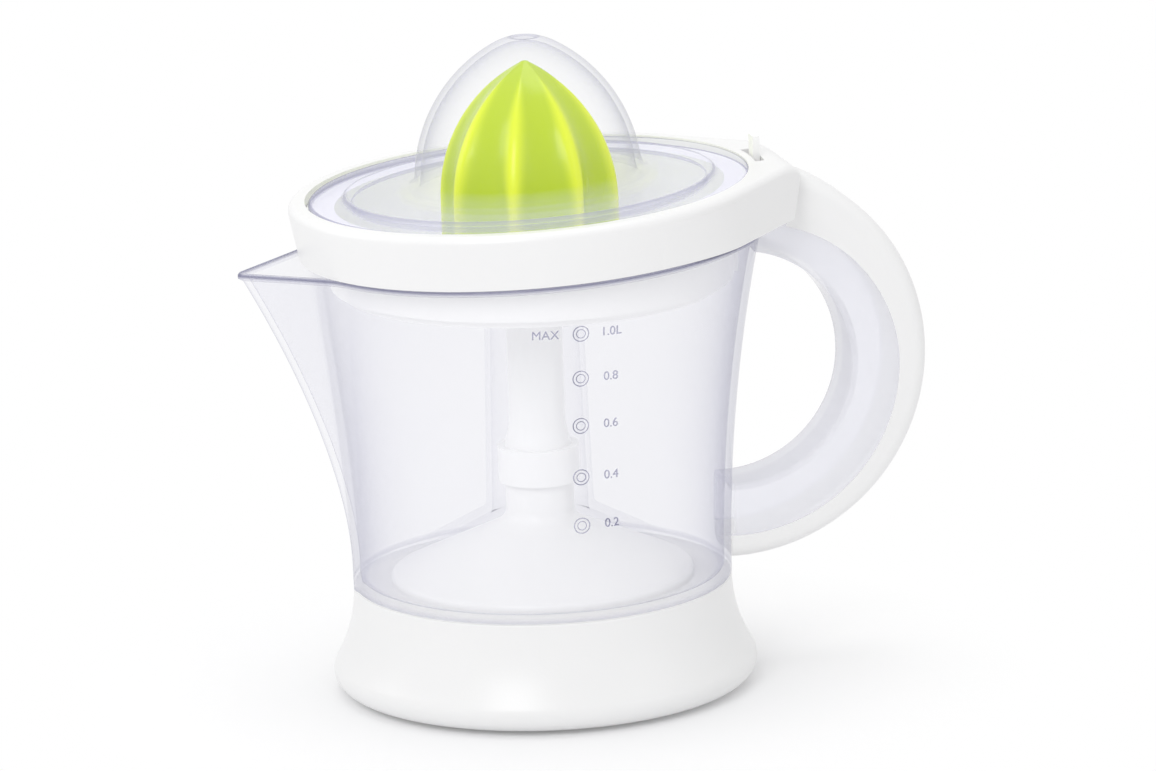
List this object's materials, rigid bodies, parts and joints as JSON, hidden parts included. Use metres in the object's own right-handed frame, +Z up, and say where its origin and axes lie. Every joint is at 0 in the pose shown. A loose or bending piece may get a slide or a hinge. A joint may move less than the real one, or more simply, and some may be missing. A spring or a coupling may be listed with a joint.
{
  "type": "electric citrus press",
  "caption": "Citrus press juicer: clear jug with pouring prow and ring handle on a flared motor base, slotted strainer with pulp lever, ribbed reamer and clear domed lid.",
  "frame": {"origin": "on the drive axis, in the plane of the rubber foot ring's underside", "axes": "+Z up along the drive axis, +X towards the handle, -X towards the pouring edge, -Y the side with the litre marks"},
  "size_m": [0.2318, 0.1584, 0.22],
  "materials": {
    "white_plastic": "satin",
    "clear_plastic": "clear",
    "lime_plastic": "gloss",
    "grey_plastic": "matte",
    "black_plastic": "matte",
    "natural_plastic": "matte",
    "rubber": "matte",
    "steel": "brushed",
    "core_steel": "dull",
    "magnet": "dull",
    "copper": "enamelled",
    "bronze": "dull"
  },
  "bodies": {
    "base": {"base_housing": "white_plastic", "base_plate": "white_plastic", "rubber_foot": "rubber", "base_screws": "steel", "cord_inlet": "rubber", "motor_core": "core_steel", "bobbin_inner": "natural_plastic", "bobbin_outer": "natural_plastic", "winding_inner": "copper", "winding_outer": "copper", "rotor_bush_lower": "bronze", "rotor_bush_upper": "bronze", "gear_plate": "grey_plastic", "plate_screws": "steel", "idler_pin": "steel", "spindle_bush_lower": "bronze", "spindle_bush_upper": "bronze", "return_spring": "steel", "switch_body": "black_plastic"},
    "rotor": {"rotor_magnet": "magnet", "rotor_shaft": "steel", "rotor_pinion": "natural_plastic"},
    "idler": {"idler_gear": "natural_plastic"},
    "output": {"output_gear": "natural_plastic", "drive_spindle": "white_plastic"},
    "rod": {"push_rod": "steel"},
    "plunger": {"switch_plunger": "natural_plastic"},
    "jug": {"jug": "clear_plastic", "jug_handle": "clear_plastic", "handle_cover": "white_plastic"},
    "strainer": {"strainer_ring": "white_plastic", "strainer_basket": "white_plastic"},
    "gate": {"pulp_gate": "white_plastic"},
    "sleeve": {"drive_sleeve": "white_plastic"},
    "cone": {"reamer_cone": "lime_plastic"},
    "lid": {"lid": "clear_plastic"}
  },
  "joints": [
    {"name": "jug_lift", "type": "slide", "parent": "base", "child": "jug", "axis": [0, 0, 1], "range_m": [0, 0.06]},
    {"name": "strainer_lift", "type": "slide", "parent": "jug", "child": "strainer", "axis": [0, 0, 1], "range_m": [0, 0.09]},
    {"name": "lid_lift", "type": "slide", "parent": "strainer", "child": "lid", "axis": [0, 0, 1], "range_m": [0, 0.06]},
    {"name": "gate_swing", "type": "hinge", "parent": "strainer", "child": "gate", "pos_m": [0, 0, 0.137], "axis": [0, 0, 1], "range_deg": [-5, 5]},
    {"name": "rotor_spin", "type": "hinge", "parent": "base", "child": "rotor", "pos_m": [-0.03506, 0.02035, 0.016], "axis": [0, 0, 1], "continuous": true},
    {"name": "idler_spin", "type": "hinge", "parent": "base", "child": "idler", "pos_m": [-0.01268, 0.02719, 0.03], "axis": [0, 0, 1], "continuous": true},
    {"name": "output_spin", "type": "hinge", "parent": "base", "child": "output", "pos_m": [0, 0, 0.036], "axis": [0, 0, 1], "continuous": true},
    {"name": "sleeve_spin", "type": "hinge", "parent": "strainer", "child": "sleeve", "pos_m": [0, 0, 0.12], "axis": [0, 0, 1], "continuous": true},
    {"name": "cone_press", "type": "slide", "parent": "sleeve", "child": "cone", "axis": [0, 0, -1], "range_m": [0, 0.002], "stiffness_N_per_m": 1500, "springref_m": -0.002},
    {"name": "rod_press", "type": "slide", "parent": "base", "child": "rod", "axis": [0, 0, -1], "range_m": [0, 0.002], "deforming": ["return_spring"]},
    {"name": "plunger_press", "type": "slide", "parent": "base", "child": "plunger", "axis": [0, 0, -1], "range_m": [0, 0.002]}
  ],
  "couplings": [
    {"joint": "idler_spin", "follows": "rotor_spin", "ratio": -0.18182},
    {"joint": "output_spin", "follows": "rotor_spin", "ratio": 0.036364},
    {"joint": "sleeve_spin", "follows": "rotor_spin", "ratio": 0.036364},
    {"joint": "rod_press", "follows": "cone_press", "ratio": 1},
    {"joint": "plunger_press", "follows": "cone_press", "ratio": 1}
  ]
}
